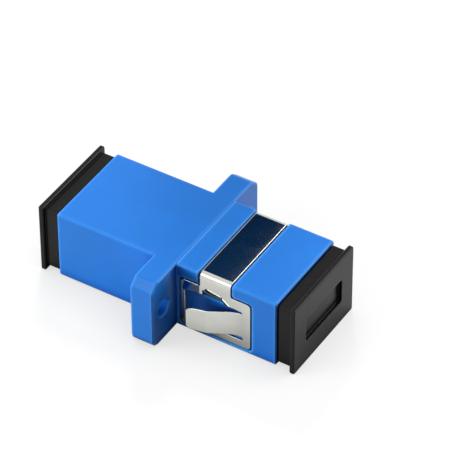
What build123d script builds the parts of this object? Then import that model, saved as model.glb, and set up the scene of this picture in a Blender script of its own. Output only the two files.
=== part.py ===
from build123d import *
import math
import os

os.makedirs("parts", exist_ok=True)

# Simplex SC fibre adapter with panel flange, spring clip and two dust caps.
# X runs along the optical axis, from the plain half (-X) to the clip half (+X).
# Y runs across the flange ears, and +Z is the side that the clip's strap crosses.
# The origin is the middle of the alignment sleeve, on the optical axis.

# Housing, outside
body_length = 29.4
body_width = 12.8
body_height = 9.3
body_edge_radius = 0.3
mouth_chamfer = 0.12
flange_thickness = 3.0
flange_chamfer = 0.15
ear_chamfer_side = 1.2
ear_chamfer_drop = 1.0
ear_blend_radius = 0.6
ear_corner_radius = 1.1
hole_spacing = 18.0
hole_diameter = 2.4
hole_chamfer = 0.1
hole_to_ear_end = 2.4

# Housing, inside
port_width = 10.0
port_height = 7.6
pocket_height = 6.2
plain_pocket_wall = 0.45
clip_pocket_wall = 0.5
keyway_width = 2.25
keyway_length = 6.6
keyway_lead_radius = 0.35
seat_side_wall = 0.35
seat_top_wall = 0.5
seat_corner_radius = 0.4
spigot_length = 0.3

# Latch inserts
plate_clearance = 0.03
plate_thickness = 1.2
barrel_diameter = 4.8
barrel_lip_length = 0.85
barrel_mouth_diameter = 2.9
barrel_mouth_chamfer = 0.3
barrel_root_chamfer = 0.3
arm_reach = 10.1
arm_height = 4.7
arm_thickness = 0.65
arm_flex_room = 0.35
arm_root_radius = 0.35
hook_length = 4.1
hook_rise = 0.55
hook_ramp_length = 1.3
hook_ramp_rise = 0.75
core_window_gap = 0.1

# Split alignment sleeve
sleeve_bore = 2.5
sleeve_wall = 0.35
sleeve_length = 11.4
sleeve_slit = 0.5
sleeve_end_chamfer = 0.1
sleeve_clearance = 0.03
sleeve_end_play = 0.05

# Spring clip, folded from one strip
sheet = 0.2
clip_bend_radius = 0.5
clip_gap = 0.03
recess_gap = 0.25
clip_offset = 0.6
clip_plate_length = 9.2
clip_plate_drop = 1.87
clip_plate_rise = 0.72
clip_corner_radius = 0.45
strap_offset = 2.55
strap_width = 4.05
neck_fillet_radius = 0.3

# Spring clip, window and folded-in tab
frame_left = 0.55
frame_right = 1.25
frame_bottom = 0.96
wing_left_height = 1.46
wing_tab_height = 1.18
shoulder_height = 0.88
throat_run = 0.4
throat_radius = 0.3
window_corner_radius = 0.25
low_slot_width = 0.55
high_slot_width = 0.36
tab_offset = 0.5
tab_width = 2.3
tab_drop = 1.25
tab_bend_radius = 0.55
tab_relief = 0.12
tab_protrusion = 0.1
tab_slot_gap = 0.15

# Spring clip, tongue that springs out of the window
tongue_root_height = 3.45
tongue_tip_height = 3.05
tongue_tip_drop = 0.15
tongue_length = 6.1
tongue_corner_radius = 0.65
tongue_bend_start = 0.7
tongue_root_angle = 28.0
tongue_root_radius = 3.0
tongue_knee_start = 3.6
tongue_tip_angle = 11.0
tongue_knee_radius = 1.5

# Dust caps
rim_width = 13.1
rim_height = 9.6
rim_thickness = 0.65
rim_corner_radius = 0.25
rim_chamfer = 0.12
neck_width = 12.2
neck_height = 8.6
neck_length = 1.85
neck_corner_radius = 0.3
neck_edge_chamfer = 0.2
plug_clearance = 0.05
plug_length = 4.0
plug_wall = 1.0
plug_corner_radius = 0.35
plug_end_chamfer = 0.3
grip_width = 8.0
grip_height = 3.5
grip_depth = 0.45
grip_corner_radius = 0.45
cap_web = 0.9

# Places that follow from the sizes above
half_length = body_length / 2
half_width = body_width / 2
half_height = body_height / 2
flange_span = hole_spacing + 2 * hole_to_ear_end
seam_x = flange_thickness / 2
seat_width = body_width - 2 * seat_side_wall
seat_height = body_height - 2 * seat_top_wall
plain_pocket_width = body_width - 2 * plain_pocket_wall
recess_depth = sheet + clip_gap
clip_pocket_width = body_width - 2 * (recess_depth + clip_pocket_wall)
sleeve_diameter = sleeve_bore + 2 * sleeve_wall
barrel_bore = sleeve_diameter + 2 * sleeve_clearance
barrel_stop = sleeve_length / 2 + sleeve_end_play
barrel_reach = barrel_stop + barrel_lip_length
arm_outside = clip_pocket_width / 2 - arm_flex_room
arm_inside = arm_outside - arm_thickness
hook_face = arm_inside - hook_rise
clip_left = seam_x + clip_offset
clip_right = clip_left + clip_plate_length
clip_top = half_height - clip_plate_drop
clip_bottom = clip_plate_rise - half_height
strap_left = clip_left + strap_offset
strap_right = strap_left + strap_width
slot_end = clip_right - frame_right
window_left = clip_left + frame_left
window_bottom = clip_bottom + frame_bottom
tongue_bottom = window_bottom + low_slot_width
tongue_top = tongue_bottom + tongue_root_height
tongue_tip_middle = tongue_bottom + tongue_root_height / 2 - tongue_tip_drop
tongue_root_x = slot_end + low_slot_width
tab_left = strap_left + tab_offset
tab_right = tab_left + tab_width
tab_under = clip_top - tab_drop
tab_bend_top = tab_under + tab_bend_radius + sheet
tab_tip = clip_pocket_width / 2 - tab_protrusion
throat = tab_right + tab_relief + throat_run
cap_outer = half_length + neck_length + rim_thickness

# Slack for finding edges by their place, and how far cutters run past a face
near = 0.001
past = 1.0


def prism_x(section, x_from, x_to):
    """Extrude a section drawn in (Y, Z) along X."""
    return extrude(Plane.YZ.offset(x_from) * section, amount=x_to - x_from)


def prism_y(section, y_from, y_to):
    """Extrude a section drawn in (X, Z) along Y."""
    return extrude(Plane.XZ.offset(-y_from) * section, amount=y_from - y_to)


def rounded(width, height, radius):
    """Rectangle with rounded corners, the radius limited by its shorter side."""
    return RectangleRounded(width, height, min(radius, 0.49 * min(width, height)))


def at_x(edges, place):
    """The edges that lie in the plane X = place."""
    return edges.filter_by_position(Axis.X, place - near, place + near)


def rings(solid, x_place, diameter):
    """The circular edges of one diameter that lie in the plane X = x_place."""
    circles = at_x(solid.edges().filter_by(GeomType.CIRCLE), x_place)
    return [edge for edge in circles if abs(edge.radius - diameter / 2) < near]


def across_z(edges, x_place, y_place):
    """The edges along Z that stand at one place in X and, on either side, in Y."""
    upright = at_x(edges.filter_by(Axis.Z), x_place)
    return [edge for edge in upright if abs(abs(edge.center().Y) - y_place) < near]


# Section of a port: the opening for the plug, with a pocket on each side for its latch
def port_section(pocket_width):
    return Rectangle(port_width, port_height) + Rectangle(pocket_width, pocket_height)


# Section that is square below and rounded along its two top edges
def saddle_section(width, height, radius):
    return rounded(width, height, radius) + Pos(0, -height / 4) * Rectangle(width, height / 2)


# Flange outline: corners cut off on the strap side and rounded on the keyway side
def flange_section():
    half_span = flange_span / 2
    chamfer_foot = half_height - ear_chamfer_drop
    outline = Polyline(
        (-half_span, -half_height),
        (half_span, -half_height),
        (half_span, chamfer_foot),
        (half_span - ear_chamfer_side, half_height),
        (-half_span + ear_chamfer_side, half_height),
        (-half_span, chamfer_foot),
        close=True,
    )
    face = make_face(outline)
    high_corners = face.vertices().filter_by_position(Axis.Y, chamfer_foot - near, half_height + near)
    face = fillet(high_corners, ear_blend_radius)
    low_corners = face.vertices().filter_by_position(Axis.Y, -half_height - near, -half_height + near)
    return fillet(low_corners, ear_corner_radius)


# Slot through the keyway-side wall, open at the mouth and round at its inner end
def keyway_cutter(mouth_x, inward):
    slot_length = keyway_length + past
    slot = rounded(2 * slot_length, keyway_width, keyway_width / 2)
    middle = mouth_x + inward * (keyway_length - slot_length)
    return extrude(Plane.XY.offset(-half_height - past) * Pos(middle, 0) * slot, amount=half_height)


# Port, keyway and rounded edges, the same at both ends of the housing
def open_mouth(solid, mouth_x, inward, pocket_width, port_end):
    solid -= prism_x(port_section(pocket_width), mouth_x, port_end)
    solid -= keyway_cutter(mouth_x, inward)
    solid = fillet(across_z(solid.edges(), mouth_x, keyway_width / 2), keyway_lead_radius)
    return chamfer(at_x(solid.edges(), mouth_x), mouth_chamfer)


# Plain half of the housing, moulded in one with the flange; the bevel at +X leaves a fine seam groove
def make_housing_plain_half():
    solid = prism_x(rounded(body_width, body_height, body_edge_radius), -half_length, 0)
    flange = prism_x(flange_section(), -seam_x, seam_x)
    solid += chamfer(at_x(flange.edges(), -seam_x) + at_x(flange.edges(), seam_x), flange_chamfer)
    solid = open_mouth(solid, -half_length, 1, plain_pocket_width, -plate_thickness)
    solid -= prism_x(rounded(seat_width, seat_height, seat_corner_radius), -plate_thickness, seam_x)
    for side in (-1, 1):
        hole = Pos(side * hole_spacing / 2, 0) * Circle(hole_diameter / 2)
        solid -= prism_x(hole, -seam_x - past, seam_x + past)
    hole_rims = rings(solid, -seam_x, hole_diameter) + rings(solid, seam_x, hole_diameter)
    return chamfer(hole_rims, hole_chamfer)


# Outline of the clip's side plate and its neck, grown by a gap for the housing's recess
def clip_outline(gap):
    width = clip_plate_length + 2 * gap
    height = clip_top - clip_bottom + 2 * gap
    plate = Pos((clip_left + clip_right) / 2, (clip_top + clip_bottom) / 2) * Rectangle(width, height)
    plate = fillet(plate.vertices(), clip_corner_radius)
    neck_height_here = half_height + past - clip_top + clip_corner_radius
    neck_middle = clip_top - clip_corner_radius + neck_height_here / 2
    neck = Rectangle(strap_width + 2 * gap, neck_height_here)
    neck = Pos((strap_left + strap_right) / 2, neck_middle) * neck
    outline = plate + neck
    shoulder = clip_top + gap
    corners = outline.vertices().filter_by_position(Axis.Y, shoulder - near, shoulder + near)
    corners = corners.filter_by_position(Axis.X, strap_left - gap - near, strap_right + gap + near)
    return fillet(corners, neck_fillet_radius)


# Clip half of the housing: the clip's recess wraps over its sides and top
def make_housing_clip_half():
    solid = prism_x(rounded(body_width, body_height, body_edge_radius), seam_x, half_length)
    spigot = rounded(seat_width - 2 * plate_clearance, seat_height - 2 * plate_clearance, seat_corner_radius)
    solid += prism_x(spigot, seam_x - spigot_length, seam_x)
    solid = open_mouth(solid, half_length, -1, clip_pocket_width, seam_x - spigot_length)
    recess = prism_y(clip_outline(recess_gap), -body_width, body_width)
    core_width = body_width - 2 * recess_depth
    core_height = body_height - 2 * recess_depth
    recess -= prism_x(saddle_section(core_width, core_height, clip_bend_radius - clip_gap), 0, body_length)
    solid -= recess
    slot_low = tab_under - tab_slot_gap
    slot = Pos((tab_left + tab_right) / 2, (slot_low + tab_bend_top) / 2)
    slot *= Rectangle(tab_width + 2 * tab_slot_gap, tab_bend_top - slot_low)
    solid -= prism_y(slot, port_width / 2, body_width)
    solid -= prism_y(slot, -body_width, -port_width / 2)
    return solid


# Latch insert: a plate with the barrel for the sleeve and two arms that hook the plug
def make_latch_insert():
    plate_width = seat_width - 2 * plate_clearance
    plate_height = seat_height - 2 * plate_clearance
    solid = prism_x(rounded(plate_width, plate_height, seat_corner_radius), 0, plate_thickness)
    solid += prism_x(Circle(barrel_diameter / 2), 0, barrel_reach)
    arm_outline = Polyline(
        (plate_thickness / 2, arm_inside),
        (arm_reach - hook_length, arm_inside),
        (arm_reach - hook_length, hook_face),
        (arm_reach - hook_ramp_length, hook_face),
        (arm_reach, hook_face + hook_ramp_rise),
        (arm_reach, arm_outside),
        (plate_thickness / 2, arm_outside),
        close=True,
    )
    arm = extrude(make_face(arm_outline), amount=arm_height / 2, both=True)
    solid += arm + mirror(arm, about=Plane.XZ)
    solid = chamfer(rings(solid, plate_thickness, barrel_diameter), barrel_root_chamfer)
    solid = fillet(across_z(solid.edges(), plate_thickness, arm_outside), arm_root_radius)
    window_width = hook_rise + core_window_gap
    for side in (-1, 1):
        window = Pos(side * (arm_inside - window_width / 2), 0) * Rectangle(window_width, arm_height)
        solid -= prism_x(window, -past, plate_thickness + past)
    solid -= prism_x(Circle(barrel_bore / 2), 0, barrel_stop)
    solid -= prism_x(Circle(barrel_mouth_diameter / 2), 0, barrel_reach)
    mouth_edge = at_x(solid.edges().filter_by(GeomType.CIRCLE), barrel_reach)
    return chamfer(mouth_edge, barrel_mouth_chamfer)


# Alignment sleeve, slit along its whole length so that it grips both ferrules
def make_split_sleeve():
    ring = Circle(sleeve_diameter / 2) - Circle(sleeve_bore / 2)
    solid = prism_x(ring, -sleeve_length / 2, sleeve_length / 2)
    solid = chamfer(solid.edges().filter_by(GeomType.CIRCLE), sleeve_end_chamfer)
    slit = Pos(0, sleeve_diameter / 2) * Rectangle(sleeve_slit, sleeve_diameter)
    return solid - prism_x(slit, -sleeve_length, sleeve_length)


def shifted(points, distance):
    """A path moved to its left by a distance, with its corners mitred."""
    moved = []
    for index, point in enumerate(points):
        before = points[max(index - 1, 0)]
        here = points[min(index, len(points) - 2)]
        after = points[min(index + 1, len(points) - 1)]
        ahead = (Vector(*after) - Vector(*here)).normalized()
        behind = (Vector(*point) - Vector(*before)).normalized() if index else ahead
        left = (ahead.rotate(Axis.Z, 90) + behind.rotate(Axis.Z, 90)).normalized()
        stretch = distance / left.dot(ahead.rotate(Axis.Z, 90))
        moved.append((point[0] + left.X * stretch, point[1] + left.Y * stretch))
    return moved


def folded_strip(points, inner_radii, turns):
    """Section of bent sheet to the left of a path; turns holds 1 for a left bend, -1 for a right bend."""
    right_radii = [radius + sheet * (turn > 0) for radius, turn in zip(inner_radii, turns)]
    left_radii = [radius + sheet * (turn < 0) for radius, turn in zip(inner_radii, turns)]
    left_points = shifted(points, sheet)
    right_side = FilletPolyline(*points, radius=right_radii)
    left_side = FilletPolyline(*left_points, radius=left_radii)
    ends = [Line(points[0], left_points[0]), Line(points[-1], left_points[-1])]
    return make_face([right_side, left_side] + ends)


# Window in the side plate, with the round ends of the two slots beside the tongue's root
def clip_window():
    slot_top = tongue_top + high_slot_width
    outline = Polyline(
        (window_left, window_bottom),
        (slot_end, window_bottom),
        (slot_end, slot_top),
        (throat, slot_top),
        (tab_right + tab_relief, clip_top - shoulder_height),
        (tab_left - tab_relief, clip_top - wing_tab_height),
        (window_left, clip_top - wing_left_height),
        close=True,
    )
    face = make_face(outline)
    left_corners = face.vertices().filter_by_position(Axis.X, window_left - near, window_left + near)
    face = fillet(left_corners, window_corner_radius)
    throat_corner = face.vertices().filter_by_position(Axis.X, throat - near, throat + near)
    face = fillet(throat_corner, throat_radius)
    face += Pos(slot_end, window_bottom + low_slot_width / 2) * Circle(low_slot_width / 2)
    face += Pos(slot_end, tongue_top + high_slot_width / 2) * Circle(high_slot_width / 2)
    notch_height = tab_bend_top - tab_under
    notch = Rectangle(tab_width + 2 * tab_relief, 2 * notch_height)
    return face + Pos((tab_left + tab_right) / 2, tab_under) * notch


# Tongue on the +Y side: bent out of the plate, then eased back towards its free end
def clip_tongue():
    inside = half_width - sheet
    knee_run = tongue_knee_start - tongue_bend_start
    knee_rise = knee_run * math.tan(math.radians(tongue_root_angle))
    tip_run = tongue_length - tongue_knee_start
    tip_rise = tip_run * math.tan(math.radians(tongue_tip_angle))
    path = [
        (slot_end - tongue_length, inside + knee_rise + tip_rise),
        (slot_end - tongue_knee_start, inside + knee_rise),
        (slot_end - tongue_bend_start, inside),
        (tongue_root_x, inside),
    ]
    strip = folded_strip(path, [tongue_knee_radius, tongue_root_radius], [-1, 1])
    strip = extrude(strip, amount=body_height, both=True)
    outline = Polyline(
        (slot_end - tongue_length, tongue_tip_middle - tongue_tip_height / 2),
        (slot_end, tongue_bottom),
        (tongue_root_x, tongue_bottom),
        (tongue_root_x, tongue_top),
        (slot_end, tongue_top),
        (slot_end - tongue_length, tongue_tip_middle + tongue_tip_height / 2),
        close=True,
    )
    face = make_face(outline)
    tip_corners = face.vertices().sort_by(Axis.X)[:2]
    face = fillet(tip_corners, tongue_corner_radius)
    return strip & prism_y(face, 0, body_width)


# Tab on the +Y side: folded in from the window's top edge, into its slot in the housing
def clip_tab():
    outside = half_width
    path = [
        (tab_tip, tab_under),
        (outside, tab_under),
        (outside, tab_bend_top + tab_relief),
    ]
    section = folded_strip(path, [tab_bend_radius], [1])
    return prism_x(section, tab_left, tab_right)


# Spring clip: strap, two bends and two side plates of one folded strip
def make_spring_clip():
    outer = saddle_section(body_width, body_height, clip_bend_radius + sheet)
    inner = saddle_section(body_width - 2 * sheet, body_height - 2 * sheet, clip_bend_radius)
    wrap = prism_x(outer - inner, 0, body_length)
    solid = wrap & prism_y(clip_outline(0) - clip_window(), -body_width, body_width)
    for piece in (clip_tongue(), clip_tab()):
        solid += piece + mirror(piece, about=Plane.XZ)
    return solid


# Dust cap: rim plate with a finger recess, a neck that stops on the mouth, and a hollow plug
def make_dust_cap():
    neck_section = rounded(neck_width, neck_height, neck_corner_radius)
    neck = prism_x(neck_section, half_length, half_length + neck_length)
    neck = chamfer(at_x(neck.edges(), half_length), neck_edge_chamfer)
    rim = prism_x(rounded(rim_width, rim_height, rim_corner_radius), half_length + neck_length, cap_outer)
    rim = chamfer(at_x(rim.edges(), cap_outer) + at_x(rim.edges(), half_length + neck_length), rim_chamfer)
    plug_width = port_width - 2 * plug_clearance
    plug_height = port_height - 2 * plug_clearance
    plug_end = half_length - plug_length
    plug = prism_x(rounded(plug_width, plug_height, plug_corner_radius), plug_end, half_length + neck_length)
    plug = chamfer(at_x(plug.edges(), plug_end), plug_end_chamfer)
    hollow = rounded(plug_width - 2 * plug_wall, plug_height - 2 * plug_wall, plug_corner_radius)
    grip = rounded(grip_width, grip_height, grip_corner_radius)
    grip = prism_x(grip, cap_outer - grip_depth, cap_outer + past)
    solid = neck + rim + plug
    solid -= prism_x(hollow, plug_end - past, cap_outer - grip_depth - cap_web)
    return solid - grip


def write_piece(name, solid):
    """Write one named piece to its own file."""
    solid.label = name
    export_step(solid, f"parts/{name}.step")


half_turn = Rot(0, 0, 180)
latch_insert = make_latch_insert()
dust_cap = make_dust_cap()
write_piece("housing_plain_half", make_housing_plain_half())
write_piece("housing_clip_half", make_housing_clip_half())
write_piece("latch_insert_clip_side", latch_insert)
write_piece("latch_insert_plain_side", half_turn * latch_insert)
write_piece("split_sleeve", make_split_sleeve())
write_piece("spring_clip", make_spring_clip())
write_piece("dust_cap_clip_side", dust_cap)
write_piece("dust_cap_plain_side", half_turn * dust_cap)
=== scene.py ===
import math

import bpy
from mathutils import Matrix, Vector


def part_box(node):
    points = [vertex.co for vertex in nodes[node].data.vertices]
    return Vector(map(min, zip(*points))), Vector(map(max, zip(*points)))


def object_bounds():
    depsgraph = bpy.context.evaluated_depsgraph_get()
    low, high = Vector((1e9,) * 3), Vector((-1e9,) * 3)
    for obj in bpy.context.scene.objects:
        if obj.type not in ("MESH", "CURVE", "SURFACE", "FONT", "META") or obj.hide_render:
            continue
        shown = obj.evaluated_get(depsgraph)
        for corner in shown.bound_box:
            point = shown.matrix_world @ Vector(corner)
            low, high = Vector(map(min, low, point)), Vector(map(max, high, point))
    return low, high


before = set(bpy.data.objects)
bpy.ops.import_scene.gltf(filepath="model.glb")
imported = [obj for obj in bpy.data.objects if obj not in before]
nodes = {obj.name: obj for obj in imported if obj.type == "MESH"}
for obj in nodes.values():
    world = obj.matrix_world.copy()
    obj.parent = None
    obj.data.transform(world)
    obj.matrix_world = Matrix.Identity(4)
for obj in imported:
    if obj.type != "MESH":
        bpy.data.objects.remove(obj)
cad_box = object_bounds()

# Camera, as the photograph has it: angles in degrees, lengths in metres
camera_azimuth = 32.05
camera_elevation = 41.31
camera_roll = -0.34
camera_distance = 0.4
camera_right = 0.00342
camera_up = 0.003745
camera_nearest = 0.01
camera_farthest = 10.0
pixels_per_metre = 8693.6
frame_pixels = 450
sensor_width = 36.0

# Colours, linear: each plastic's face, its painted shade in a corner and deep in a gap, and its
# painted highlight on an edge
housing_blue = (0.013, 0.172, 0.62)
insert_blue = (0.012, 0.150, 0.56)
painted_corner_shade_blue = (0.001, 0.036, 0.36)
painted_gap_shade_blue = (0.001, 0.010, 0.075)
painted_edge_highlight_blue = (0.060, 0.320, 0.86)
cap_black = (0.0048, 0.0046, 0.0048)
painted_corner_shade_black = (0.0020, 0.0020, 0.0020)
painted_gap_shade_black = (0.0010, 0.0010, 0.0010)
painted_edge_highlight_black = (0.040, 0.040, 0.040)
steel_tone = (0.636, 0.642, 0.592)
ceramic_white = (0.86, 0.84, 0.78)

# Painted shade and painted edge highlights from the walls within reach, in metres, and the bands of
# openness that each tone fades over
shading_samples = 8
gap_reach = 0.002
gap_band = (0.42, 0.64)
corner_band = (0.40, 0.92)
painted_highlight_band = (0.95, 0.60)

# Noise patterns, in features per metre, drawn out along an axis by stretch
cloud_noise = {"scale": 260, "detail": 3}
smear_noise = {"scale": 700, "detail": 4}
scuff_noise = {"scale": 2600, "detail": 5, "roughness": 0.7, "stretch": (0.1, 1, 1)}
grain_noise = {"scale": 16000, "detail": 2}
stain_noise = {"scale": 420, "detail": 3}
handling_noise = {"scale": 800, "detail": 3}
rolling_noise = {"scale": 900, "detail": 5, "roughness": 0.65, "stretch": (14, 0.6, 0.6)}
firing_noise = {"scale": 500, "detail": 2}
ring_noise = {"scale": 1000, "detail": 4, "roughness": 0.6, "stretch": (18, 0.5, 0.5)}

# Bands of noise that the patterns are spread over
noise_band = (0.3, 0.7)
stain_band = (0.3, 0.75)
scuff_band = (0.62, 0.74)

# Darkest and lightest tint of each clouded colour
plastic_tints = (0.96, 1.04)
steel_tints = (0.94, 1.03)
ceramic_tints = (0.96, 1.03)

# Least and most that a pattern adds to the roughness
plastic_smear = (-0.02, 0.02)
plastic_scuff = (0, 0.03)
steel_smear = (-0.008, 0.012)
ceramic_smear = (-0.04, 0.06)

# Relief and broken edges of the steel and the ceramic, in metres
rolling_depth = 0.0000001
ring_depth = 0.0000008
steel_edge_radius = 0.00013

# Sockets of a Mix node that mixes colours
mix_first = 6
mix_second = 7
mix_result = 2

# Lamps: direction from the object, distance and size in metres, power in watts, and whether
# the object mirrors them
lamps = {
    "key": ((-0.74, -0.65, 0.16), 0.28, 0.11, 0.89, False),
    "top": ((0.16, 0.20, 0.96), 0.30, 0.20, 0.20, False),
    "back": ((-0.40, 0.64, 0.66), 0.30, 0.06, 0.68, False),
    "front": ((-0.40, -0.66, 0.64), 0.30, 0.13, 0.150, True),
    "rim": ((0.66, 0.64, 0.40), 0.22, 0.13, 0.263, True),
}

# Surroundings: strength of the room's light, and the floor's size in metres, its tone as it is lit,
# its tone as a source of light, and the share of plain white in it where it is seen or mirrored
room_strength = 0.25
floor_size = 6.0
floor_tone = 0.95
floor_bounce = 0.10
floor_share = 0.85

# Painted shadow on the floor close to the object: reach in metres, the band of openness that its
# white fades over, and the least white that is seen there
contact_reach = 0.009
contact_band = (0.33, 0.85)
contact_white = 0.8

# Dark card above, out of view: the patch of the top face that mirrors it, and its tones
card_height = 0.045
card_left = -0.006
card_right = 0.0105
card_near = -0.014
card_far = 0.018
card_near_tone = (0.006, 0.040, 0.130)
card_far_tone = (0.001, 0.012, 0.050)

# Flag above, out of view: the patch of the top face along the same line, shaded from the back lamp
flag_left = -0.008
flag_right = 0.006
flag_near = -0.003
flag_far = 0.024

scene = bpy.context.scene


def camera_axes():
    """Right, up and forward directions of the camera."""
    a, e, r = (math.radians(angle) for angle in (camera_azimuth, camera_elevation, camera_roll))
    forward = Vector((-math.sin(a) * math.cos(e), math.cos(a) * math.cos(e), -math.sin(e)))
    level = Vector((math.cos(a), math.sin(a), 0))
    upright = level.cross(forward)
    right = level * math.cos(r) + upright * math.sin(r)
    up = upright * math.cos(r) - level * math.sin(r)
    return right, up, forward


def make_camera():
    """Camera at the photograph's angle, with the object's origin off the middle of the frame."""
    right, up, forward = camera_axes()
    data = bpy.data.cameras.new("photo_camera")
    data.sensor_width = sensor_width
    data.lens = pixels_per_metre * camera_distance * sensor_width / frame_pixels
    data.clip_start = camera_nearest
    data.clip_end = camera_farthest
    camera = bpy.data.objects.new("photo_camera", data)
    scene.collection.objects.link(camera)
    place = right * camera_right + up * camera_up - forward * camera_distance
    turn = Matrix((right, up, -forward)).transposed().to_4x4()
    camera.matrix_world = Matrix.Translation(place) @ turn
    scene.camera = camera


class Shader:
    """A new node material with its Principled shader, and short ways to add nodes to it."""

    def __init__(self, name, color, roughness, metallic=0.0):
        self.material = bpy.data.materials.new(name)
        self.material.use_nodes = True
        self.tree = self.material.node_tree
        self.inputs = self.tree.nodes["Principled BSDF"].inputs
        self.inputs["Base Color"].default_value = (*color, 1)
        self.inputs["Roughness"].default_value = roughness
        self.inputs["Metallic"].default_value = metallic
        self.place = self.add("ShaderNodeTexCoord").outputs["Object"]

    def add(self, kind, **settings):
        node = self.tree.nodes.new(kind)
        for key, value in settings.items():
            setattr(node, key, value)
        return node

    def link(self, source, target):
        self.tree.links.new(source, target)

    def noise(self, scale, detail, roughness=0.5, stretch=(1, 1, 1)):
        """Noise over the object, in features per metre, drawn out along an axis by stretch."""
        mapping = self.add("ShaderNodeMapping")
        mapping.inputs["Scale"].default_value = stretch
        self.link(self.place, mapping.inputs["Vector"])
        texture = self.add("ShaderNodeTexNoise")
        texture.inputs["Scale"].default_value = scale
        texture.inputs["Detail"].default_value = detail
        texture.inputs["Roughness"].default_value = roughness
        self.link(mapping.outputs["Vector"], texture.inputs["Vector"])
        return texture.outputs["Fac"]

    def span(self, source, band, result=(0, 1)):
        """Maps a band of values to the result's range and holds it at the ends."""
        node = self.add("ShaderNodeMapRange", clamp=True)
        for name, value in zip(("From Min", "From Max", "To Min", "To Max"), (*band, *result)):
            node.inputs[name].default_value = value
        self.link(source, node.inputs["Value"])
        return node.outputs["Result"]

    def sum(self, first, second):
        node = self.add("ShaderNodeMath", operation="ADD")
        self.link(first, node.inputs[0])
        self.link(second, node.inputs[1])
        return node.outputs["Value"]

    def blend(self, factor, first, second):
        """Colour from first to second as factor goes from 0 to 1. Each is a colour or a socket."""
        node = self.add("ShaderNodeMix", data_type="RGBA")
        self.link(factor, node.inputs["Factor"])
        for index, color in ((mix_first, first), (mix_second, second)):
            if isinstance(color, tuple):
                node.inputs[index].default_value = (*color, 1)
            else:
                self.link(color, node.inputs[index])
        return node.outputs[mix_result]

    def clouded(self, color, pattern, band, tints):
        """The colour, varied by a noise pattern from its darkest tint to its lightest."""
        dark, light = (tuple(channel * tint for channel in color) for tint in tints)
        return self.blend(self.span(self.noise(**pattern), band), dark, light)

    def openness(self, reach, inside=False):
        """1 with no wall within reach, and less with more of them. Inside looks into the solid."""
        node = self.add("ShaderNodeAmbientOcclusion", samples=shading_samples, inside=inside)
        node.inputs["Distance"].default_value = reach
        return node.outputs["AO"]

    def bump(self, height, depth, normal=None):
        """Relief of the given depth in metres."""
        node = self.add("ShaderNodeBump")
        node.inputs["Distance"].default_value = depth
        self.link(height, node.inputs["Height"])
        if normal is not None:
            self.link(normal, node.inputs["Normal"])
        return node.outputs["Normal"]

    def soft_edges(self, radius):
        """Normals that run round each edge, as on a part with slightly broken edges."""
        node = self.add("ShaderNodeBevel", samples=shading_samples)
        node.inputs["Radius"].default_value = radius
        return node.outputs["Normal"]


def around(middle, spread):
    """Range of values that lie round a middle one."""
    return tuple(middle + step for step in spread)


def moulded_plastic(name, tones, roughness, gloss, grain_depth, painted_highlight_reach, edge_radius):
    """Moulded plastic: cloudy, with painted shade in corners and gaps and a painted highlight on its
    edges, a fine grain and scuffs.
    """
    # tones: the face colour, painted shade in a corner, painted shade deep in a gap, and the painted
    # highlight on an edge
    face, corner, deep, edge = tones
    s = Shader(name, face, roughness)
    s.inputs["Specular IOR Level"].default_value = gloss
    clouded = s.clouded(face, cloud_noise, noise_band, plastic_tints)
    # Painted shade: the colour darkens to the corner tone, and deeper in a gap to the gap tone, the
    # closer the walls lie
    openness = s.openness(gap_reach)
    shadow = s.blend(s.span(openness, gap_band), deep, corner)
    shaded = s.blend(s.span(openness, corner_band), shadow, clouded)
    # Painted highlight: convex edges, with little of the solid behind them within reach, take the
    # lighter edge tone
    painted_highlight_mask = s.span(s.openness(painted_highlight_reach, inside=True), painted_highlight_band)
    s.link(s.blend(painted_highlight_mask, shaded, edge), s.inputs["Base Color"])
    smear = s.span(s.noise(**smear_noise), noise_band, around(roughness, plastic_smear))
    scuff = s.span(s.noise(**scuff_noise), scuff_band, plastic_scuff)
    s.link(s.sum(smear, scuff), s.inputs["Roughness"])
    grain = s.bump(s.noise(**grain_noise), grain_depth, s.soft_edges(edge_radius))
    s.link(grain, s.inputs["Normal"])
    return s.material


def rolled_steel(name, color, roughness):
    """Spring sheet: rolling lines along the strip, faint stains, edges rolled over by the punch."""
    s = Shader(name, color, roughness, metallic=1.0)
    s.link(s.clouded(color, stain_noise, stain_band, steel_tints), s.inputs["Base Color"])
    lines = s.noise(**rolling_noise)
    handled = s.span(s.noise(**handling_noise), noise_band, steel_smear)
    rolled = s.span(lines, noise_band, around(roughness, steel_smear))
    s.link(s.sum(handled, rolled), s.inputs["Roughness"])
    s.link(s.bump(lines, rolling_depth, s.soft_edges(steel_edge_radius)), s.inputs["Normal"])
    return s.material


def ground_ceramic(name, color, roughness):
    """Ceramic sleeve with fine grinding rings round its axis."""
    s = Shader(name, color, roughness)
    s.link(s.clouded(color, firing_noise, noise_band, ceramic_tints), s.inputs["Base Color"])
    rings = s.noise(**ring_noise)
    s.link(s.span(rings, noise_band, around(roughness, ceramic_smear)), s.inputs["Roughness"])
    s.link(s.bump(rings, ring_depth), s.inputs["Normal"])
    return s.material


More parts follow.
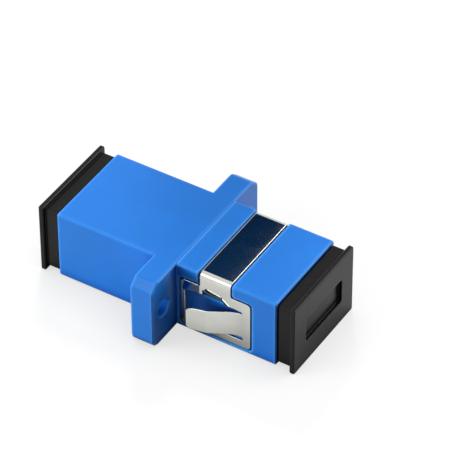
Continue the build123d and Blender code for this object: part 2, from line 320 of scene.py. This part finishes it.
blue = moulded_plastic(
    "housing_moulded_blue",
    (housing_blue, painted_corner_shade_blue, painted_gap_shade_blue, painted_edge_highlight_blue),
    roughness=0.30,
    gloss=0.25,
    grain_depth=0.0000008,
    painted_highlight_reach=0.00042,
    edge_radius=0.0002,
)
inner_blue = moulded_plastic(
    "insert_moulded_blue",
    (insert_blue, painted_corner_shade_blue, painted_gap_shade_blue, painted_edge_highlight_blue),
    roughness=0.36,
    gloss=0.25,
    grain_depth=0.0000014,
    painted_highlight_reach=0.00020,
    edge_radius=0.00012,
)
black = moulded_plastic(
    "cap_satin_black",
    (cap_black, painted_corner_shade_black, painted_gap_shade_black, painted_edge_highlight_black),
    roughness=0.29,
    gloss=0.15,
    grain_depth=0.0000008,
    painted_highlight_reach=0.00018,
    edge_radius=0.00015,
)
steel = rolled_steel("clip_spring_steel", steel_tone, roughness=0.055)
ceramic = ground_ceramic("sleeve_ground_ceramic", ceramic_white, roughness=0.24)

finish = {
    "housing_plain_half": blue,
    "housing_clip_half": blue,
    "latch_insert_plain_side": inner_blue,
    "latch_insert_clip_side": inner_blue,
    "split_sleeve": ceramic,
    "spring_clip": steel,
    "dust_cap_plain_side": black,
    "dust_cap_clip_side": black,
}
for name, material in finish.items():
    mesh = nodes[name].data
    for index in range(len(mesh.materials)):
        mesh.materials[index] = material


def seen_or_mirrored(tree):
    """Light Path's outputs, and a value that is 1 where the surface is seen or mirrored."""
    path = tree.nodes.new("ShaderNodeLightPath").outputs
    seen = tree.nodes.new("ShaderNodeMath")
    seen.operation = "MAXIMUM"
    tree.links.new(path["Is Camera Ray"], seen.inputs[0])
    tree.links.new(path["Is Glossy Ray"], seen.inputs[1])
    return path, seen.outputs["Value"]


def either(tree, source, low, high):
    """Low where the source is 0, and high where it is 1."""
    node = tree.nodes.new("ShaderNodeMapRange")
    node.inputs["To Min"].default_value = low
    node.inputs["To Max"].default_value = high
    tree.links.new(source, node.inputs["Value"])
    return node.outputs["Result"]


def white_glow(tree, path):
    """White as a backdrop is, with a painted shadow where it fades close to the object."""
    contact = tree.nodes.new("ShaderNodeAmbientOcclusion")
    contact.samples = shading_samples
    contact.inputs["Distance"].default_value = contact_reach
    strength = tree.nodes.new("ShaderNodeMapRange")
    strength.inputs["From Min"].default_value = contact_band[0]
    strength.inputs["From Max"].default_value = contact_band[1]
    tree.links.new(either(tree, path["Is Camera Ray"], 0, contact_white), strength.inputs["To Min"])
    tree.links.new(contact.outputs["AO"], strength.inputs["Value"])
    glow = tree.nodes.new("ShaderNodeEmission")
    tree.links.new(strength.outputs["Result"], glow.inputs["Strength"])
    return glow.outputs["Emission"]


def make_floor(height):
    """White floor under the object, with a soft shadow, partly cast by the lamps and partly painted
    close to the object. It gives little light back.
    """
    bpy.ops.mesh.primitive_plane_add(size=floor_size, location=(0, 0, height))
    floor = bpy.context.object
    floor.name = "floor"
    material = bpy.data.materials.new("floor_white")
    material.use_nodes = True
    tree = material.node_tree
    tree.nodes.clear()
    path, seen = seen_or_mirrored(tree)
    lit = tree.nodes.new("ShaderNodeBsdfDiffuse")
    tone = either(tree, path["Is Diffuse Ray"], floor_tone, floor_bounce)
    tree.links.new(tone, lit.inputs["Color"])
    mix = tree.nodes.new("ShaderNodeMixShader")
    tree.links.new(either(tree, seen, 0, floor_share), mix.inputs["Fac"])
    tree.links.new(lit.outputs["BSDF"], mix.inputs[1])
    tree.links.new(white_glow(tree, path), mix.inputs[2])
    output = tree.nodes.new("ShaderNodeOutputMaterial")
    tree.links.new(mix.outputs["Shader"], output.inputs["Surface"])
    floor.data.materials.append(material)


def make_room():
    """Even white surroundings: weak as light, full white where seen or mirrored."""
    world = bpy.data.worlds.new("white_room")
    scene.world = world
    world.use_nodes = True
    tree = world.node_tree
    background = tree.nodes["Background"]
    background.inputs["Color"].default_value = (1, 1, 1, 1)
    seen = seen_or_mirrored(tree)[1]
    tree.links.new(either(tree, seen, room_strength, 1.0), background.inputs["Strength"])


def facing_origin(direction, distance):
    """Placement at a distance in a direction, with -Z towards the origin."""
    place = Vector(direction).normalized() * distance
    return Matrix.Translation(place) @ (-place).to_track_quat("-Z", "Y").to_matrix().to_4x4()


def make_lamp(name, direction, distance, size, power, mirrored):
    """Square soft lamp that faces the object."""
    light = bpy.data.lights.new(name, "AREA")
    light.size = size
    light.energy = power
    lamp = bpy.data.objects.new(name, light)
    scene.collection.objects.link(lamp)
    lamp.matrix_world = facing_origin(direction, distance)
    lamp.visible_glossy = mirrored


def hold_over(name, left, right, near, far, top):
    """Card, out of the camera's view, where a patch of the top face mirrors it to the camera."""
    forward = camera_axes()[2]
    mirrored = Vector((forward.x, forward.y, -forward.z))
    foot = Vector(((left + right) / 2, (near + far) / 2, top))
    bpy.ops.mesh.primitive_plane_add(size=1.0, location=foot + mirrored * (card_height / mirrored.z))
    card = bpy.context.object
    card.name = name
    card.scale = (right - left, far - near, 1)
    material = bpy.data.materials.new(name)
    material.use_nodes = True
    tree = material.node_tree
    tree.nodes.clear()
    place = tree.nodes.new("ShaderNodeTexCoord")
    split = tree.nodes.new("ShaderNodeSeparateXYZ")
    tree.links.new(place.outputs["Generated"], split.inputs["Vector"])
    tone = tree.nodes.new("ShaderNodeMix")
    tone.data_type = "RGBA"
    tone.inputs[mix_first].default_value = (*card_near_tone, 1)
    tone.inputs[mix_second].default_value = (*card_far_tone, 1)
    tree.links.new(split.outputs["Y"], tone.inputs["Factor"])
    glow = tree.nodes.new("ShaderNodeEmission")
    tree.links.new(tone.outputs[mix_result], glow.inputs["Color"])
    output = tree.nodes.new("ShaderNodeOutputMaterial")
    tree.links.new(glow.outputs["Emission"], output.inputs["Surface"])
    card.data.materials.append(material)
    card.visible_camera = False
    card.visible_diffuse = False
    return card


make_floor(cad_box[0][2])
make_room()
for name, settings in lamps.items():
    make_lamp(name, *settings)
body_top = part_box("housing_plain_half")[1][2]
hold_over("dark_card", card_left, card_right, card_near, card_far, body_top).visible_shadow = False
hold_over("flag", flag_left, flag_right, flag_near, flag_far, body_top).visible_glossy = False
make_camera()
scene.view_settings.view_transform = "Standard"
